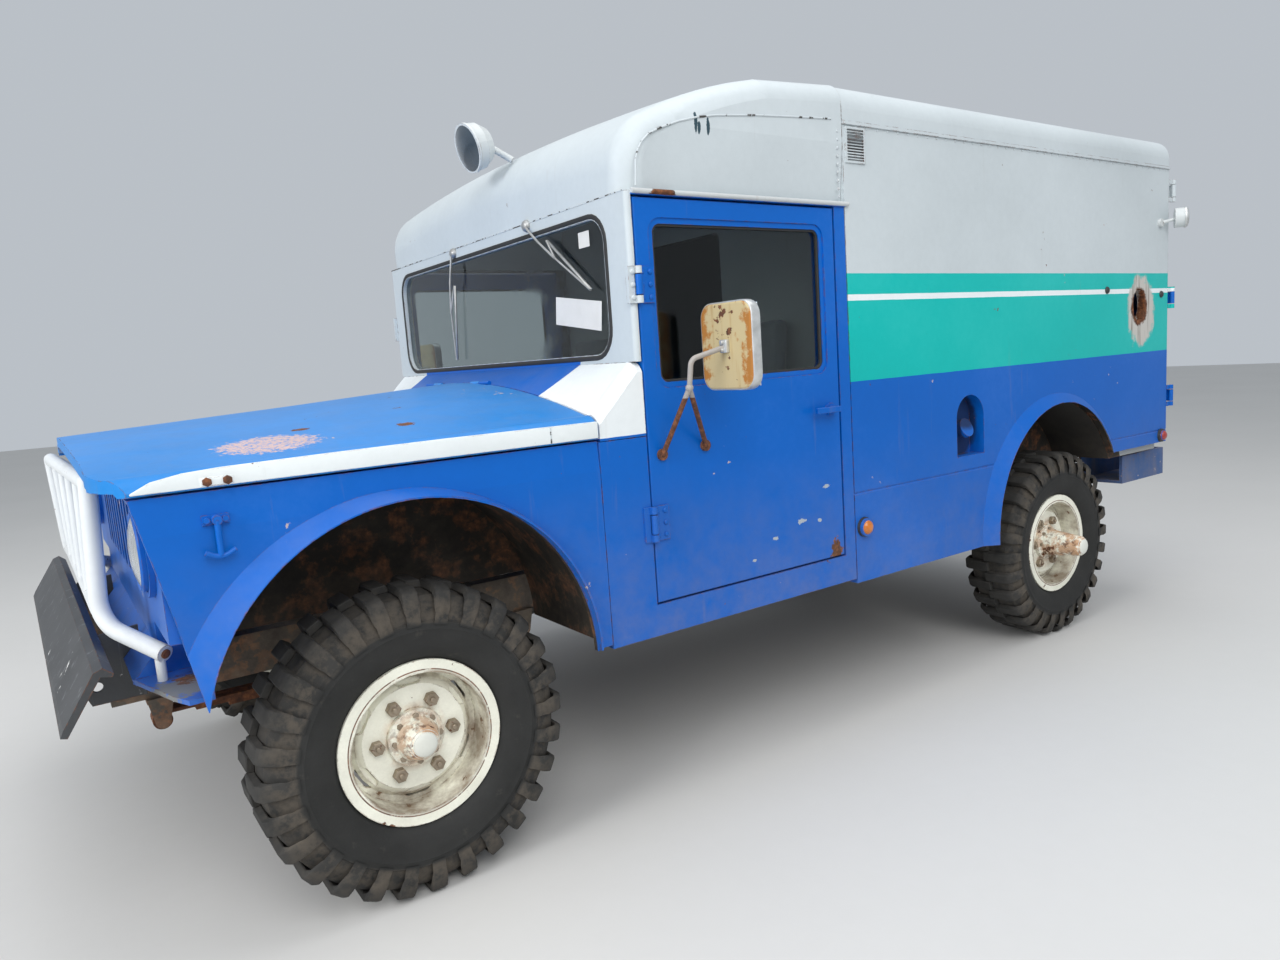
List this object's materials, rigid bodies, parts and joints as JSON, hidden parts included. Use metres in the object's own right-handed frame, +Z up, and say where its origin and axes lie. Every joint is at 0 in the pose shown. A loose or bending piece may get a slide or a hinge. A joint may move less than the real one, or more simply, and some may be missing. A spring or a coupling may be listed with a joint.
{
  "type": "military ambulance truck",
  "caption": "Four-wheel-drive military ambulance truck with a boxed rear body, steered front wheels, hinged doors and lifting hood.",
  "frame": {"origin": "on the ground under the middle of the overall length and width", "axes": "+X forward, +Y to the driver's left, +Z up"},
  "size_m": [5.135, 2.602, 2.4135],
  "materials": {
    "body_blue": "worn gloss paint",
    "body_white": "chalky paint",
    "wheel_cream": "brushed-on paint with rust",
    "tyre_rubber": "weathered",
    "chassis_black": "dusty satin",
    "bumper_grey": "scraped satin",
    "rusty_steel": "rusted",
    "glass_clear": "clear",
    "lamp_lens": "fluted",
    "seat_grey": "woven",
    "dash_black": "grained",
    "trim_black": "matt",
    "cast_grey": "oily"
  },
  "bodies": {
    "chassis": {"leaf_springs": "rusty_steel", "frame_rails": "chassis_black", "front_axle": "chassis_black", "rear_axle": "chassis_black", "engine": "cast_grey", "driveline": "cast_grey", "exhaust": "rusty_steel", "fuel_tank": "chassis_black", "front_bumper": "bumper_grey", "brush_guard": "body_white", "front_panel": "body_blue", "lamps": "lamp_lens", "fenders": "body_blue", "cowl": "body_blue", "windscreen_frame": "body_white", "windscreen": "glass_clear", "cab_sides": "body_blue", "cab_floor": "chassis_black", "cab_roof": "body_white", "rear_roof": "body_white", "body_sides": "body_blue", "rear_frame": "body_white", "load_floor": "body_white", "seats": "seat_grey", "dashboard": "dash_black", "steering_wheel": "trim_black", "bumperettes": "body_blue", "wipers": "trim_black", "crossmembers": "chassis_black"},
    "knuckle_left": {"knuckle_left": "chassis_black"},
    "knuckle_right": {"knuckle_right": "chassis_black"},
    "tie_rod": {"tie_rod": "chassis_black"},
    "hood": {"hood": "body_blue"},
    "door_left": {"door_left": "body_blue", "door_glass_left": "glass_clear", "mirror_left": "rusty_steel"},
    "rear_door_left": {"rear_door_left": "body_white", "rear_door_glass_left": "glass_clear"},
    "wheel_front_left": {"tyre_front_left": "tyre_rubber", "rim_front_left": "wheel_cream"},
    "wheel_rear_left": {"tyre_rear_left": "tyre_rubber", "rim_rear_left": "wheel_cream"},
    "door_right": {"door_right": "body_blue", "door_glass_right": "glass_clear", "mirror_right": "rusty_steel"},
    "rear_door_right": {"rear_door_right": "body_white", "rear_door_glass_right": "glass_clear"},
    "wheel_front_right": {"tyre_front_right": "tyre_rubber", "rim_front_right": "wheel_cream"},
    "wheel_rear_right": {"tyre_rear_right": "tyre_rubber", "rim_rear_right": "wheel_cream"}
  },
  "joints": [
    {"name": "steer_left", "type": "hinge", "parent": "chassis", "child": "knuckle_left", "pos_m": [1.7245, 0.7, 0.441], "axis": [0, 0, 1], "range_deg": [-28, 28]},
    {"name": "spin_front_left", "type": "hinge", "parent": "knuckle_left", "child": "wheel_front_left", "pos_m": [1.7245, 0.851, 0.441], "axis": [0, 1, 0], "continuous": true},
    {"name": "spin_rear_left", "type": "hinge", "parent": "chassis", "child": "wheel_rear_left", "pos_m": [-1.4755, 0.851, 0.441], "axis": [0, 1, 0], "continuous": true},
    {"name": "open_door_left", "type": "hinge", "parent": "chassis", "child": "door_left", "pos_m": [0.9405, 1.02, 1.305], "axis": [0, 0, -1], "range_deg": [0, 70]},
    {"name": "open_rear_door_left", "type": "hinge", "parent": "chassis", "child": "rear_door_left", "pos_m": [-2.4695, 1.01, 1.54], "axis": [0, 0, -1], "range_deg": [0, 100]},
    {"name": "steer_right", "type": "hinge", "parent": "chassis", "child": "knuckle_right", "pos_m": [1.7245, -0.7, 0.441], "axis": [0, 0, 1], "range_deg": [-28, 28]},
    {"name": "spin_front_right", "type": "hinge", "parent": "knuckle_right", "child": "wheel_front_right", "pos_m": [1.7245, -0.851, 0.441], "axis": [0, 1, 0], "continuous": true},
    {"name": "spin_rear_right", "type": "hinge", "parent": "chassis", "child": "wheel_rear_right", "pos_m": [-1.4755, -0.851, 0.441], "axis": [0, 1, 0], "continuous": true},
    {"name": "open_door_right", "type": "hinge", "parent": "chassis", "child": "door_right", "pos_m": [0.9405, -1.02, 1.305], "axis": [0, 0, 1], "range_deg": [0, 70]},
    {"name": "open_rear_door_right", "type": "hinge", "parent": "chassis", "child": "rear_door_right", "pos_m": [-2.4695, -1.01, 1.54], "axis": [0, 0, 1], "range_deg": [0, 100]},
    {"name": "tie_rod_pivot", "type": "hinge", "parent": "knuckle_left", "child": "tie_rod", "pos_m": [1.5345, 0.7, 0.29], "axis": [0, 0, 1], "range_deg": [-28, 28]},
    {"name": "lift_hood", "type": "hinge", "parent": "chassis", "child": "hood", "pos_m": [1.1165, 0, 1.403], "axis": [0, -1, 0], "range_deg": [0, 55]}
  ],
  "couplings": [
    {"joint": "steer_right", "follows": "steer_left", "ratio": 1},
    {"joint": "tie_rod_pivot", "follows": "steer_left", "ratio": -1}
  ]
}
